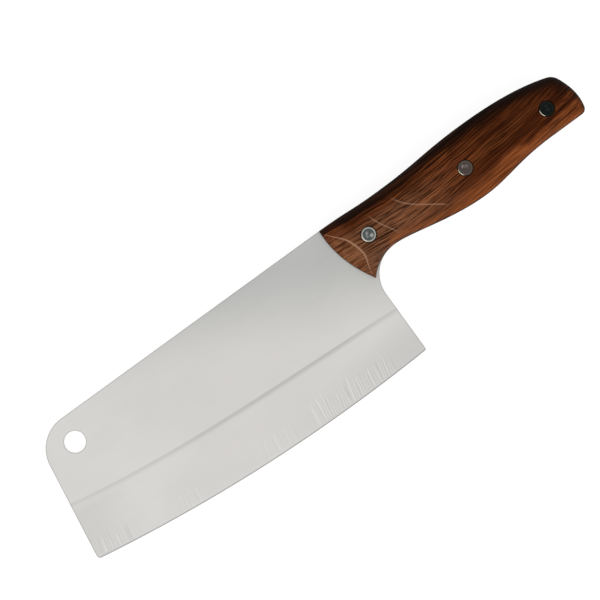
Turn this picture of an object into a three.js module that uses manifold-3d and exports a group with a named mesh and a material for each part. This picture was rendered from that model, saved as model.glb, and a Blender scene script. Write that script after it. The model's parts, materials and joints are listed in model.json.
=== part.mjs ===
// A kitchen cleaver: a full-tang stainless blade between two wooden grip scales held by three rivets.
// Millimetres. The knife is drawn with its heel on x = 0 and its spine on y = 0: the blade runs to -X,
// the handle to +X, the cutting edge faces -Y, and z = 0 is the middle of the steel.
// At the end it is laid down on its side the way it comes to rest on a table, with +Z up.
import * as THREE from "three";
import { mergeVertices } from "three/addons/utils/BufferGeometryUtils.js";
import Module from "manifold-3d";

const wasm = await Module();
wasm.setup();

// Blade outline
const bladeLength = 176.7; // heel to the foremost point of the edge
const edgeDepth = 73.3; // spine to the lowest point of the edge
const edgeLowestAhead = 41.5; // how far ahead of the heel that lowest point lies
const edgeRadius = 790; // sweep of the cutting edge
const frontLean = THREE.MathUtils.degToRad(8.6); // the front edge runs forward on its way down
const tipRadius = 16.8; // round between spine and front edge
const tipCornerRadius = 2;
const heelCornerRadius = 1;
const notchRadius = 16; // finger notch between heel and handle
const notchLevel = 0.7; // level stretch between the notch and the handle's waist

// Blade section
const stock = 2; // thickness of the steel
const bevelAtTip = 28.65; // height of the ground face
const bevelAtHeel = 23.4;
const grindBow = 2.2; // upward bow of the grind line, most at a third of the way from the heel
const hollow = 0.12; // the ground face dips this far below flat
const sharpenedHeight = 1.2;
const thicknessBehindEdge = 0.5;
const edgeThickness = 0.2;

// Hang hole
const hangHoleDiameter = 10;
const hangHoleFromSpine = 12.3;
const hangHoleFromFront = 15.3; // along the blade, to the line of the front edge

// Handle outline: tang and scales are ground flush
const handleLength = 131.4; // front corner of the scales to the butt
const scaleLead = 8; // the scales start this far ahead of the heel
const dipBack = 24; // shallow dip of the back of the handle, behind the heel
const dipDepth = 1;
const humpBack = 73;
const humpRise = 1.2;
const buttTopAhead = 4.1; // upper corner of the butt, ahead of its roundest point
const buttTopDepth = 5.2;
const buttTopRadius = 3;
const buttHeelAhead = 1.1; // lower corner of the butt
const buttHeelDepth = 27.3;
const buttHeelRadius = 2.6;
const buttBow = 1.45; // how far past the butt its bow is drawn towards
const rearWaistAhead = 19.4; // narrow place ahead of the butt
const rearWaistDepth = 27.4;
const bellyBack = 62.5;
const bellyDepth = 31.4;
const waistDepth = 25;

// Scale section and front
const scaleThickness = 8.5;
const scaleWall = 1; // upright edge beside the tang, below the rounding
const flatMargin = 1; // flat wood round the rivet heads
const scaleNotchRadius = 21.5; // the wood is eased back from the steel in the notch
const toeAngle = THREE.MathUtils.degToRad(139); // where on that round the scale ends
const frontFoot = 1; // upright foot of the sloping front
const frontBow = 2.75; // the front edge bulges this far towards the blade
const rampRun = 8.3; // length of the sloping front along its middle

// Rivets
const frontRivetBack = 9.3; // behind the heel
const rearRivetAhead = 15.3; // ahead of the butt
const rivetDepth = 15.85; // below the spine
const frontRivetDepth = 14.5;
const headDiameter = 6.9;
const headHeight = 1.6;
const headProud = 0.15;
const headChamfer = 0.5;
const headChamferDrop = 0.12;
const dimpleDiameter = 1.4;
const dimpleDepth = 0.15;
const shankDiameter = 5;
const pinDiameter = 3;
const headWeb = 1.8; // metal between the head's underside and the end of the shank's bore

// Clearances
const glueLine = 0.2; // between tang and scale
const rivetFit = 0.2; // round shank and head, and under the head
const pinFit = 0.2; // round the pin and at its ends

// Fineness of curves
const curveSteps = 12;
const frontSteps = 20;
const frontLevels = 5;
const shoulderSteps = 7;
const grindSteps = 14;
const hollowSteps = 6;
const roundSides = 24;

// Shape of curves, as shares of their own span
const shoulderPower = 1.5; // 2 is a round shoulder, 1 a flat chamfer
const ease = {
  dip: [0.5, 0.5],
  hump: [0.45, 0.45],
  buttTop: 0.58,
  butt: 0.55,
  belly: [0.5, 0.35],
  waist: [0.4, 0.2],
};

// Places worked out from the sizes above
const half = stock / 2;
const buttX = handleLength - scaleLead;
const flatHalf = headDiameter / 2 + flatMargin;
const scaleBase = half + glueLine;
const scaleTop = scaleBase + scaleThickness;
const headTop = scaleTop + headProud;
const headUnder = headTop - headHeight;
const cutterReach = 3 * stock; // cutting shapes run this far past what they cut
const rivets = [
  { name: "front", x: frontRivetBack, y: -frontRivetDepth },
  { name: "middle", x: bellyBack, y: -rivetDepth },
  { name: "rear", x: buttX - rearRivetAhead, y: -rivetDepth },
];
const waist = new THREE.Vector2(notchRadius + notchLevel, -waistDepth);
const topCorner = new THREE.Vector2(-scaleLead, 0);
const scaleNotchCentre = new THREE.Vector2(waist.x, waist.y - scaleNotchRadius);
const toe = new THREE.Vector2(
  scaleNotchCentre.x + scaleNotchRadius * Math.cos(toeAngle),
  scaleNotchCentre.y + scaleNotchRadius * Math.sin(toeAngle),
);

// Height of the cutting edge and of the grind line at a place along the blade
function edgeY(x) {
  const along = x + edgeLowestAhead;
  return edgeRadius - edgeDepth - Math.sqrt(edgeRadius ** 2 - along ** 2);
}

function grindY(x) {
  const along = -x / bladeLength;
  const bow = 6.75 * along * (1 - along) ** 2;
  return edgeY(x) + THREE.MathUtils.lerp(bevelAtHeel, bevelAtTip, along) + grindBow * bow;
}

const edgeTip = new THREE.Vector2(-bladeLength, edgeY(-bladeLength));

// Place of the front edge's line at a height
function frontX(y) {
  return edgeTip.x + (y - edgeTip.y) * Math.tan(frontLean);
}

// Solids from closed meshes, and back
function toSolid(geometry) {
  const bare = geometry.clone();
  bare.deleteAttribute("normal");
  bare.deleteAttribute("uv");
  const merged = mergeVertices(bare);
  const triVerts = [];
  for (let i = 0; i < merged.index.count; i += 3) {
    const [a, b, c] = merged.index.array.slice(i, i + 3);
    if (a !== b && b !== c && c !== a) triVerts.push(a, b, c);
  }
  const vertProperties = merged.attributes.position.array;
  const mesh = new wasm.Mesh({ numProp: 3, vertProperties, triVerts: new Uint32Array(triVerts) });
  return new wasm.Manifold(mesh);
}

function toGeometry(solid) {
  const { vertProperties, triVerts } = solid.getMesh();
  const geometry = new THREE.BufferGeometry();
  geometry.setAttribute("position", new THREE.BufferAttribute(vertProperties, 3));
  geometry.setIndex(new THREE.BufferAttribute(triVerts, 1));
  geometry.computeVertexNormals();
  return geometry;
}

function cut(geometry, tools) {
  const left = tools.reduce((solid, tool) => solid.subtract(toSolid(tool)), toSolid(geometry));
  return toGeometry(left);
}

// A closed body skinned over flat rings of equal length, stacked along z. Each ring is { points, z }.
function stackRings(rings) {
  const turned = THREE.ShapeUtils.isClockWise(rings[0].points);
  const count = rings[0].points.length;
  const positions = [];
  for (const { points, z } of rings) {
    const ordered = turned ? [...points].reverse() : points;
    for (const p of ordered) positions.push(p.x, p.y, z);
  }
  const index = [];
  for (let k = 0; k + 1 < rings.length; k++) {
    for (let i = 0; i < count; i++) {
      const a = k * count + i;
      const b = k * count + ((i + 1) % count);
      index.push(a, b, b + count, a, b + count, a + count);
    }
  }
  const cap = (ring, offset, flip) => {
    const contour = turned ? [...ring.points].reverse() : ring.points;
    for (const [a, b, c] of THREE.ShapeUtils.triangulateShape(contour, [])) {
      if (flip) index.push(offset + a, offset + c, offset + b);
      else index.push(offset + a, offset + b, offset + c);
    }
  };
  cap(rings[0], 0, true);
  cap(rings.at(-1), (rings.length - 1) * count, false);
  const geometry = new THREE.BufferGeometry();
  geometry.setAttribute("position", new THREE.Float32BufferAttribute(positions, 3));
  geometry.setIndex(index);
  return geometry;
}

// A round bar along z between two heights, for drilling
function drill(diameter, low, high, x, y) {
  const bar = new THREE.CylinderGeometry(diameter / 2, diameter / 2, high - low, roundSides);
  return bar.rotateX(Math.PI / 2).translate(x, y, (low + high) / 2);
}

// Curve pieces of the outline
function easeTo(path, to, [leave, arrive]) {
  const from = path.currentPoint.clone();
  const span = to.x - from.x;
  path.bezierCurveTo(from.x + leave * span, from.y, to.x - arrive * span, to.y, to.x, to.y);
}

function toward(from, to, distance) {
  return from.clone().add(to.clone().sub(from).setLength(distance));
}

function roundCorner(path, corner, next, radius) {
  const end = toward(corner, next, radius);
  path.quadraticCurveTo(corner.x, corner.y, end.x, end.y);
}

// Back of the handle from the scales' front corner, round the butt and along the underside to the waist
function traceHandle(path) {
  const hump = new THREE.Vector2(humpBack, humpRise);
  const buttTop = new THREE.Vector2(buttX - buttTopAhead, -buttTopDepth);
  const buttHeel = new THREE.Vector2(buttX - buttHeelAhead, -buttHeelDepth);
  const fall = new THREE.Vector2(THREE.MathUtils.lerp(hump.x, buttTop.x, ease.buttTop), hump.y);
  const bulgeY = THREE.MathUtils.lerp(buttTop.y, buttHeel.y, ease.butt);
  const bulge = new THREE.Vector2(buttX + buttBow, bulgeY);
  const rearWaist = new THREE.Vector2(buttX - rearWaistAhead, -rearWaistDepth);
  easeTo(path, new THREE.Vector2(dipBack, -dipDepth), ease.dip);
  easeTo(path, hump, ease.hump);
  const topEnd = toward(buttTop, fall, buttTopRadius);
  path.quadraticCurveTo(fall.x, fall.y, topEnd.x, topEnd.y);
  roundCorner(path, buttTop, bulge, buttTopRadius);
  const heelStart = toward(buttHeel, bulge, buttHeelRadius);
  path.quadraticCurveTo(bulge.x, bulge.y, heelStart.x, heelStart.y);
  roundCorner(path, buttHeel, rearWaist, buttHeelRadius);
  path.lineTo(rearWaist.x, rearWaist.y);
  easeTo(path, new THREE.Vector2(bellyBack, -bellyDepth), ease.belly);
  easeTo(path, waist, ease.waist);
}

// Outline of the steel: tang, finger notch, heel, cutting edge, front edge and spine
function bladeOutline() {
  const outline = new THREE.Shape();
  outline.moveTo(topCorner.x, topCorner.y);
  traceHandle(outline);
  outline.absarc(notchRadius, waist.y - notchRadius, notchRadius, Math.PI / 2, Math.PI, false);
  outline.lineTo(0, edgeY(0) + heelCornerRadius);
  outline.quadraticCurveTo(0, edgeY(0), -heelCornerRadius, edgeY(-heelCornerRadius));
  const sweep = (x) => Math.asin((x + edgeLowestAhead) / edgeRadius) - Math.PI / 2;
  const edgeEnd = edgeTip.x + tipCornerRadius;
  const centreY = edgeRadius - edgeDepth;
  outline.absarc(-edgeLowestAhead, centreY, edgeRadius, sweep(-heelCornerRadius), sweep(edgeEnd), true);
  const frontStart = edgeTip.y + tipCornerRadius;
  outline.quadraticCurveTo(edgeTip.x, edgeTip.y, frontX(frontStart), frontStart);
  const frontEnd = tipRadius * (Math.sin(frontLean) - 1);
  const tipCentreX = frontX(frontEnd) + tipRadius * Math.cos(frontLean);
  outline.absarc(tipCentreX, -tipRadius, tipRadius, Math.PI - frontLean, Math.PI / 2, true);
  outline.lineTo(topCorner.x, topCorner.y);
  return outline;
}

function roundHole(x, y, diameter) {
  return new THREE.Path().absarc(x, y, diameter / 2, 0, 2 * Math.PI, false);
}

// What the grinding wheel takes from one side of the blade
function grinding(side) {
  const start = -bladeLength - cutterReach;
  const end = cutterReach;
  const rings = [];
  for (let k = 0; k <= grindSteps; k++) {
    const x = THREE.MathUtils.lerp(start, end, k / grindSteps);
    const top = grindY(x);
    const bottom = edgeY(x);
    const shoulder = bottom + sharpenedHeight;
    const points = [];
    for (let i = 0; i <= hollowSteps; i++) {
      const s = i / hollowSteps;
      const flat = THREE.MathUtils.lerp(half, thicknessBehindEdge / 2, s);
      const dip = hollow * 4 * s * (1 - s);
      points.push(new THREE.Vector2(THREE.MathUtils.lerp(top, shoulder, s), flat - dip));
    }
    points.push(new THREE.Vector2(bottom, edgeThickness / 2));
    points.push(new THREE.Vector2(bottom - cutterReach, edgeThickness / 2));
    points.push(new THREE.Vector2(bottom - cutterReach, half + cutterReach));
    points.push(new THREE.Vector2(top, half + cutterReach));
    rings.push({ points: points.map((p) => new THREE.Vector2(p.x, side * p.y)), z: x });
  }
  const alongBlade = new THREE.Matrix4().makeBasis(
    new THREE.Vector3(0, 1, 0),
    new THREE.Vector3(0, 0, 1),
    new THREE.Vector3(1, 0, 0),
  );
  return stackRings(rings).applyMatrix4(alongBlade);
}

function bladeGeometry() {
  const outline = bladeOutline();
  const holeX = frontX(-hangHoleFromSpine) + hangHoleFromFront;
  outline.holes.push(roundHole(holeX, -hangHoleFromSpine, hangHoleDiameter));
  for (const { x, y } of rivets) {
    outline.holes.push(roundHole(x, y, shankDiameter + 2 * rivetFit));
  }
  const plate = new THREE.ExtrudeGeometry(outline, {
    depth: stock,
    bevelEnabled: false,
    curveSegments: curveSteps,
  });
  return cut(plate.translate(0, 0, -half), [grinding(1), grinding(-1)]);
}

// Front edge of a scale on the tang, and the ridge where its slope ends at full thickness
function frontCurves() {
  const middle = topCorner.clone().lerp(toe, 0.5);
  const bowed = (shift) => {
    const control = new THREE.Vector2(middle.x + 2 * shift, middle.y);
    return new THREE.QuadraticBezierCurve(topCorner, control, toe);
  };
  return { foot: bowed(-frontBow), ridge: bowed(rampRun - frontBow) };
}

// What is taken off the front of a scale to leave its sloping face
function frontCut() {
  const { foot, ridge } = frontCurves();
  const rise = scaleThickness - frontFoot;
  const far = topCorner.x - 2 * cutterReach;
  const past = cutterReach / topCorner.distanceTo(toe);
  const ring = (height, slope) => {
    const points = [];
    for (let i = 0; i <= frontSteps; i++) {
      const t = THREE.MathUtils.lerp(1 + past, -past, i / frontSteps);
      points.push(foot.getPoint(t).lerp(ridge.getPoint(t), slope));
    }
    points.push(new THREE.Vector2(far, points.at(-1).y));
    points.push(new THREE.Vector2(far, points[0].y));
    return { points, z: scaleBase + height };
  };
  const rings = [ring(-cutterReach, 0)];
  for (let k = 0; k <= frontLevels; k++) {
    const height = THREE.MathUtils.lerp(frontFoot, scaleThickness + frontFoot, k / frontLevels);
    rings.push(ring(height, (height - frontFoot) / rise));
  }
  return stackRings(rings);
}

// One scale before its front is cut: the handle's outline, rounded up to a flat along the rivets
function scaleBlank() {
  const outline = new THREE.Path();
  const blankFront = topCorner.x - cutterReach;
  outline.moveTo(blankFront, topCorner.y);
  outline.lineTo(topCorner.x, topCorner.y);
  traceHandle(outline);
  const toeSpare = cutterReach / scaleNotchRadius;
  outline.absarc(
    scaleNotchCentre.x, scaleNotchCentre.y, scaleNotchRadius, Math.PI / 2, toeAngle + toeSpare, false,
  );
  outline.lineTo(blankFront, outline.currentPoint.y);
  const base = outline.getPoints(curveSteps);
  const flatEnd = rivets.at(-1).x;
  const flat = base.map((p) => {
    const middle = new THREE.Vector2(THREE.MathUtils.clamp(p.x, topCorner.x, flatEnd), -rivetDepth);
    return toward(middle, p, flatHalf);
  });
  const rings = [{ points: base, z: scaleBase }];
  for (let k = 0; k <= shoulderSteps; k++) {
    const angle = (Math.PI / 2) * (k / shoulderSteps);
    const outward = Math.cos(angle) ** (2 / shoulderPower);
    const upward = Math.sin(angle) ** (2 / shoulderPower);
    const points = base.map((p, i) => flat[i].clone().lerp(p, outward));
    rings.push({ points, z: scaleBase + THREE.MathUtils.lerp(scaleWall, scaleThickness, upward) });
  }
  return stackRings(rings);
}

function scaleGeometry() {
  const tools = [frontCut()];
  const above = scaleTop + cutterReach;
  for (const { x, y } of rivets) {
    tools.push(drill(shankDiameter + 2 * rivetFit, 0, above, x, y));
    tools.push(drill(headDiameter + 2 * rivetFit, headUnder - rivetFit, above, x, y));
  }
  return cut(scaleBlank(), tools);
}

// A rivet half is turned: its head is up, and what is below the head is given as [radius, height] pairs
function turnedRivet(below) {
  const rim = headDiameter / 2;
  const profile = [
    ...below,
    [rim, headUnder],
    [rim, headTop - headChamferDrop],
    [rim - headChamfer, headTop],
    [dimpleDiameter / 2, headTop],
    [0, headTop - dimpleDepth],
  ];
  const points = profile.map(([r, z]) => new THREE.Vector2(r, z));
  return new THREE.LatheGeometry(points, roundSides).rotateX(Math.PI / 2);
}

function socketGeometry() {
  const bore = pinDiameter / 2 + pinFit;
  const boreEnd = headUnder - headWeb;
  const shankEnd = -headUnder + pinFit;
  const shank = shankDiameter / 2;
  return turnedRivet([
    [0, boreEnd],
    [bore, boreEnd],
    [bore, shankEnd],
    [shank, shankEnd],
    [shank, headUnder],
  ]);
}

function pinGeometry() {
  const pin = pinDiameter / 2;
  const pinEnd = -(headUnder - headWeb - pinFit);
  return turnedRivet([[0, pinEnd], [pin, pinEnd], [pin, headUnder]]);
}

// Materials
const bladeSteel = new THREE.MeshStandardMaterial({ color: 0xc6c7c5, roughness: 0.42, metalness: 0.9 });
const rivetSteel = new THREE.MeshStandardMaterial({ color: 0x8c8f90, roughness: 0.35, metalness: 0.95 });
const redBrownWood = new THREE.MeshStandardMaterial({ color: 0x6b3517, roughness: 0.45, metalness: 0 });

function piece(name, geometry, material) {
  const mesh = new THREE.Mesh(geometry, material);
  mesh.name = name;
  return mesh;
}

// The knife, put together
const knife = new THREE.Group();
knife.add(piece("blade", bladeGeometry(), bladeSteel));
const scale = scaleGeometry();
knife.add(piece("scale_upper", scale, redBrownWood));
const scaleLower = piece("scale_lower", scale, redBrownWood);
scaleLower.scale.z = -1;
knife.add(scaleLower);
const socket = socketGeometry();
const pin = pinGeometry();
for (const { name, x, y } of rivets) {
  const socketMesh = piece(`rivet_${name}_socket`, socket, rivetSteel);
  socketMesh.position.set(x, y, 0);
  const pinMesh = piece(`rivet_${name}_pin`, pin, rivetSteel);
  pinMesh.position.set(x, y, 0);
  pinMesh.rotation.x = Math.PI;
  knife.add(socketMesh, pinMesh);
}

// Laid on its side it stands on the front of the lower scale's flat and on the two ends of the ground tip
const ridgeMiddle = frontCurves().ridge.getPoint(0.5);
const bevelTop = edgeTip.y + bevelAtTip;
const restingOn = [
  new THREE.Vector3(ridgeMiddle.x, -rivetDepth - flatHalf, -scaleTop),
  new THREE.Vector3(frontX(bevelTop), bevelTop, -half),
  new THREE.Vector3(edgeTip.x, edgeTip.y, -edgeThickness / 2),
];
const up = new THREE.Vector3(0, 0, 1);
const table = new THREE.Plane().setFromCoplanarPoints(...restingOn);
if (table.normal.z < 0) table.negate();
knife.quaternion.setFromUnitVectors(table.normal, up);

// The origin is under the middle of the knife, on the table
const cleaver = new THREE.Group();
cleaver.name = "cleaver";
cleaver.add(knife);
const box = new THREE.Box3().setFromObject(cleaver, true);
const middle = box.getCenter(new THREE.Vector3());
knife.position.set(-middle.x, -middle.y, -box.min.z);

export default cleaver;
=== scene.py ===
"""A kitchen cleaver on a pale table: a satin ground blade, red-brown wooden scales and three rivets.

The pieces are drawn in the knife's own frame, in millimetres: the heel is on x = 0, the spine on y = 0,
the blade runs to -X, the handle to +X, the cutting edge faces -Y, and z = 0 is the middle of the steel.
"""

import json
import math

import bpy
import numpy as np
from mathutils import Matrix, Vector
from mathutils.geometry import delaunay_2d_cdt


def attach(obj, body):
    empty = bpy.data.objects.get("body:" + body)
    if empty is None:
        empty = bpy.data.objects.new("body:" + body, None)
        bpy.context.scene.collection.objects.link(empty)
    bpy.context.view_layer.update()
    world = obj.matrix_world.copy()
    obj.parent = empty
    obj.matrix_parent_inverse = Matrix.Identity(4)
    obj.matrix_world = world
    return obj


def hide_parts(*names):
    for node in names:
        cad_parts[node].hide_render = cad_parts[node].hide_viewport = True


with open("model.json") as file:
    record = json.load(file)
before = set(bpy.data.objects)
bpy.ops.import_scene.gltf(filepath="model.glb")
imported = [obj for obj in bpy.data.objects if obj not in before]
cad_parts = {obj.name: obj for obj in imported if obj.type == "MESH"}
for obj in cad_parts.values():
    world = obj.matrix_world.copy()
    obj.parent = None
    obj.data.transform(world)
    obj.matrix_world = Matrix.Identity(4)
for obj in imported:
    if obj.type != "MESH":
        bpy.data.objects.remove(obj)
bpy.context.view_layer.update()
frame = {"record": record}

MM = 0.001

# Blade outline
BLADE_LENGTH = 176.7  # heel to the foremost point of the edge
EDGE_DEPTH = 73.3  # spine to the lowest point of the edge
EDGE_LOWEST_AHEAD = 41.5  # how far ahead of the heel that point lies
EDGE_RADIUS = 790
FRONT_LEAN = math.radians(8.6)
TIP_RADIUS = 16.8
TIP_CORNER_RADIUS = 2
HEEL_CORNER_RADIUS = 1
NOTCH_RADIUS = 16
NOTCH_LEVEL = 0.7  # level stretch between the notch and the handle's waist
HANG_HOLE_RADIUS = 5
HANG_HOLE_FROM_SPINE = 12.3
HANG_HOLE_FROM_FRONT = 15.3

# Blade section
HALF_STOCK = 1
BEVEL_AT_TIP = 28.65
BEVEL_AT_HEEL = 23.4
GRIND_BOW = 2.2  # upward bow of the grind line, most at a third of the way from the heel
HOLLOW = 0.12  # the ground face dips this far below flat
SHARPENED_HEIGHT = 1.2
HALF_BEHIND_EDGE = 0.25
HALF_EDGE = 0.1
SHOULDER_EASE = 1.4  # softness of the grind line
RIM_RADIUS = 0.15  # rounding of the plate's edges
RIM_SHARE = 0.8  # the most of the half thickness that this rounding takes

# Handle outline
HANDLE_LENGTH = 131.4
SCALE_LEAD = 8  # the scales start this far ahead of the heel
BUTT_X = HANDLE_LENGTH - SCALE_LEAD
TOP_CORNER = np.array([-SCALE_LEAD, 0.0])
DIP = np.array([24, -1.0])
HUMP = np.array([73, 1.2])
HUMP_REACH = 0.58  # share of the way to the butt at which the fall's control point lies
BUTT_TOP = np.array([BUTT_X - 4.1, -5.2])
BUTT_TOP_RADIUS = 3
BUTT_HEEL = np.array([BUTT_X - 1.1, -27.3])
BUTT_HEEL_RADIUS = 2.6
BUTT_BOW = 1.45
BUTT_BOW_AT = 0.55  # share of the way down the butt
REAR_WAIST = np.array([BUTT_X - 19.4, -27.4])
BELLY = np.array([62.5, -31.4])
WAIST = np.array([NOTCH_RADIUS + NOTCH_LEVEL, -25])

# Scale section and front
SCALE_BASE = 1.2  # half the stock and the glue line
SCALE_THICKNESS = 8.5
SCALE_WALL = 1  # height of the scale at its outline
SCALE_LOWEST = SCALE_BASE + 0.8 * SCALE_WALL  # its surface goes no lower
RIVET_LINE = -15.85
FLAT_HALF = 4.45  # the flat along the rivets, from its middle
REAR_RIVET_X = BUTT_X - 15.3
SHOULDER_POWER = 1.5
SCALE_NOTCH_RADIUS = 21.5
SCALE_NOTCH = WAIST - (0, SCALE_NOTCH_RADIUS)
TOE_ANGLE = math.radians(139)
TOE_SPARE = math.radians(16)  # the rounding is drawn on past the toe, and cut off by the sloping front
TOE = SCALE_NOTCH + SCALE_NOTCH_RADIUS * np.array([math.cos(TOE_ANGLE), math.sin(TOE_ANGLE)])
FRONT_FOOT = 1
FRONT_BOW = 2.75
RAMP_RUN = 8.3
LEAST_RUN = 0.02  # keeps the slope finite at the corners, where its foot and its ridge meet
RIDGE_SOFTNESS = 0.8  # height over which slope and top blend into each other

# Rivets
RIVETS = {"front": (9.3, -14.5), "middle": (62.5, RIVET_LINE), "rear": (REAR_RIVET_X, RIVET_LINE)}
HEAD_RADIUS = 3.45
HEAD_TOP = SCALE_BASE + SCALE_THICKNESS + 0.15
HEAD_UNDER = HEAD_TOP - 1.6
HEAD_WEB = 1.8  # metal between the head's underside and the end of the shank's bore
SHANK_RADIUS = 2.5
PIN_RADIUS = 1.5
FIT = 0.2  # clearance round shank, head and pin

# The photograph's view
PHOTO_PIXELS = 600
PIXELS_PER_MM = 2.2
VIEW_CENTRE = (-33.35, -20.25)
VIEW_ROLL = math.radians(36)
LENS = 500
SENSOR = 36

# Fineness
CURVE_STEPS = 40
LINE_STEP = 1.2
ROUND_SIDES = 96
CORNER_STEPS = 8
COLUMN_STEP = 2.4  # between the blade's inner points, along the blade
BLADE_INSETS = (0, 0.02, 0.06, RIM_RADIUS, 0.35, 0.6)  # rings that step in from the blade's outline
BLADE_CLEAR = 0.3  # from the last ring to the nearest inner point
SCALE_INSETS = (0, 0.03, 0.09, 0.18, 0.3, 0.46)
SCALE_CLEAR = 0.25
FAR_IN = 2.0  # stands for any distance from the outline that no longer matters
SHARP_ANGLE = math.radians(38)  # edges that turn further than this stay crisp
LEAST_SPREAD = 0.4  # keeps the points of sharp corners from moving too far inwards
BOW_SCALE = 6.75  # makes t * (1 - t)**2 reach 1 at its top, a third of the way along


# Outlines, as arrays of points without their last one
def lerp(a, b, t):
    return a + (b - a) * t


def bezier(*points, steps=CURVE_STEPS):
    t = np.linspace(0, 1, steps, endpoint=False)[:, None]
    degree = len(points) - 1
    total = 0
    for k, point in enumerate(points):
        total = total + math.comb(degree, k) * t**k * (1 - t) ** (degree - k) * np.asarray(point)
    return total


def arc(centre, radius, start, end, steps=CURVE_STEPS):
    angles = np.linspace(start, end, steps, endpoint=False)
    return np.asarray(centre) + radius * np.stack([np.cos(angles), np.sin(angles)], -1)


def straight(start, end):
    return bezier(start, end, steps=max(2, round(math.dist(start, end) / LINE_STEP)))


def ease(start, end, leave, arrive):
    """A curve that leaves and arrives level."""
    span = end[0] - start[0]
    return bezier(start, start + (leave * span, 0), end - (arrive * span, 0), end)


def toward(start, end, distance):
    return start + (end - start) * distance / math.dist(start, end)


def edge_y(x):
    """Height of the cutting edge."""
    return EDGE_RADIUS - EDGE_DEPTH - np.sqrt(EDGE_RADIUS**2 - (x + EDGE_LOWEST_AHEAD) ** 2)


def grind_y(x):
    """Height of the grind line."""
    along = -x / BLADE_LENGTH
    bow = BOW_SCALE * along * (1 - along) ** 2
    return edge_y(x) + lerp(BEVEL_AT_HEEL, BEVEL_AT_TIP, along) + GRIND_BOW * bow


EDGE_TIP = np.array([-BLADE_LENGTH, edge_y(-BLADE_LENGTH)])


def front_x(y):
    """Place of the front edge's line at a height."""
    return EDGE_TIP[0] + (y - EDGE_TIP[1]) * math.tan(FRONT_LEAN)


HANG_HOLE = np.array([front_x(-HANG_HOLE_FROM_SPINE) + HANG_HOLE_FROM_FRONT, -HANG_HOLE_FROM_SPINE])


def handle_back():
    """From the scales' front corner along the back to the middle of the butt."""
    fall = np.array([lerp(HUMP[0], BUTT_TOP[0], HUMP_REACH), HUMP[1]])
    bulge = butt_bulge()
    top_end = toward(BUTT_TOP, fall, BUTT_TOP_RADIUS)
    return np.concatenate([
        ease(TOP_CORNER, DIP, leave=0.5, arrive=0.5),
        ease(DIP, HUMP, leave=0.45, arrive=0.45),
        bezier(HUMP, fall, top_end),
        bezier(top_end, BUTT_TOP, toward(BUTT_TOP, bulge, BUTT_TOP_RADIUS)),
    ])


def butt_bulge():
    """The point that the butt bows out towards."""
    return np.array([BUTT_X + BUTT_BOW, lerp(BUTT_TOP[1], BUTT_HEEL[1], BUTT_BOW_AT)])


def handle_underside():
    """Round the butt and along the underside to the waist."""
    bulge = butt_bulge()
    heel_start = toward(BUTT_HEEL, bulge, BUTT_HEEL_RADIUS)
    heel_end = toward(BUTT_HEEL, REAR_WAIST, BUTT_HEEL_RADIUS)
    return np.concatenate([
        bezier(toward(BUTT_TOP, bulge, BUTT_TOP_RADIUS), bulge, heel_start),
        bezier(heel_start, BUTT_HEEL, heel_end),
        straight(heel_end, REAR_WAIST),
        ease(REAR_WAIST, BELLY, leave=0.5, arrive=0.35),
        ease(BELLY, WAIST, leave=0.4, arrive=0.2),
    ])


def blade_outline():
    heel = np.array([0, edge_y(0)])
    edge_start = np.array([-HEEL_CORNER_RADIUS, edge_y(-HEEL_CORNER_RADIUS)])
    edge_end_x = EDGE_TIP[0] + TIP_CORNER_RADIUS
    along = np.arange(edge_start[0], edge_end_x, -LINE_STEP)
    front_start_y = EDGE_TIP[1] + TIP_CORNER_RADIUS
    front_start = np.array([front_x(front_start_y), front_start_y])
    front_end_y = TIP_RADIUS * (math.sin(FRONT_LEAN) - 1)
    front_end = np.array([front_x(front_end_y), front_end_y])
    tip_centre = np.array([front_end[0] + TIP_RADIUS * math.cos(FRONT_LEAN), -TIP_RADIUS])
    notch_end = np.array([0, WAIST[1] - NOTCH_RADIUS])
    return np.concatenate([
        handle_back(),
        handle_underside(),
        arc(np.array([NOTCH_RADIUS, notch_end[1]]), NOTCH_RADIUS, math.pi / 2, math.pi),
        straight(notch_end, heel + (0, HEEL_CORNER_RADIUS)),
        bezier(heel + (0, HEEL_CORNER_RADIUS), heel, edge_start, steps=CORNER_STEPS),
        np.stack([along, edge_y(along)], -1),
        bezier(np.array([edge_end_x, edge_y(edge_end_x)]), EDGE_TIP, front_start, steps=CORNER_STEPS),
        straight(front_start, front_end),
        arc(tip_centre, TIP_RADIUS, math.pi - FRONT_LEAN, math.pi / 2),
        straight(np.array([tip_centre[0], 0.0]), TOP_CORNER),
    ])


def front_curve(shift):
    """Control points of a curve from the scale's top corner to its toe, bowed by a shift along the handle."""
    middle = (TOP_CORNER + TOE) / 2
    return TOP_CORNER, middle + (2 * shift, 0), TOE


def scale_outline():
    foot = front_curve(-FRONT_BOW)
    return np.concatenate([
        handle_back(),
        handle_underside(),
        arc(SCALE_NOTCH, SCALE_NOTCH_RADIUS, math.pi / 2, TOE_ANGLE),
        bezier(*foot[::-1]),
    ])


def round_hole(centre, radius):
    return arc(centre, radius, 0, 2 * math.pi, ROUND_SIDES)


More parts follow.
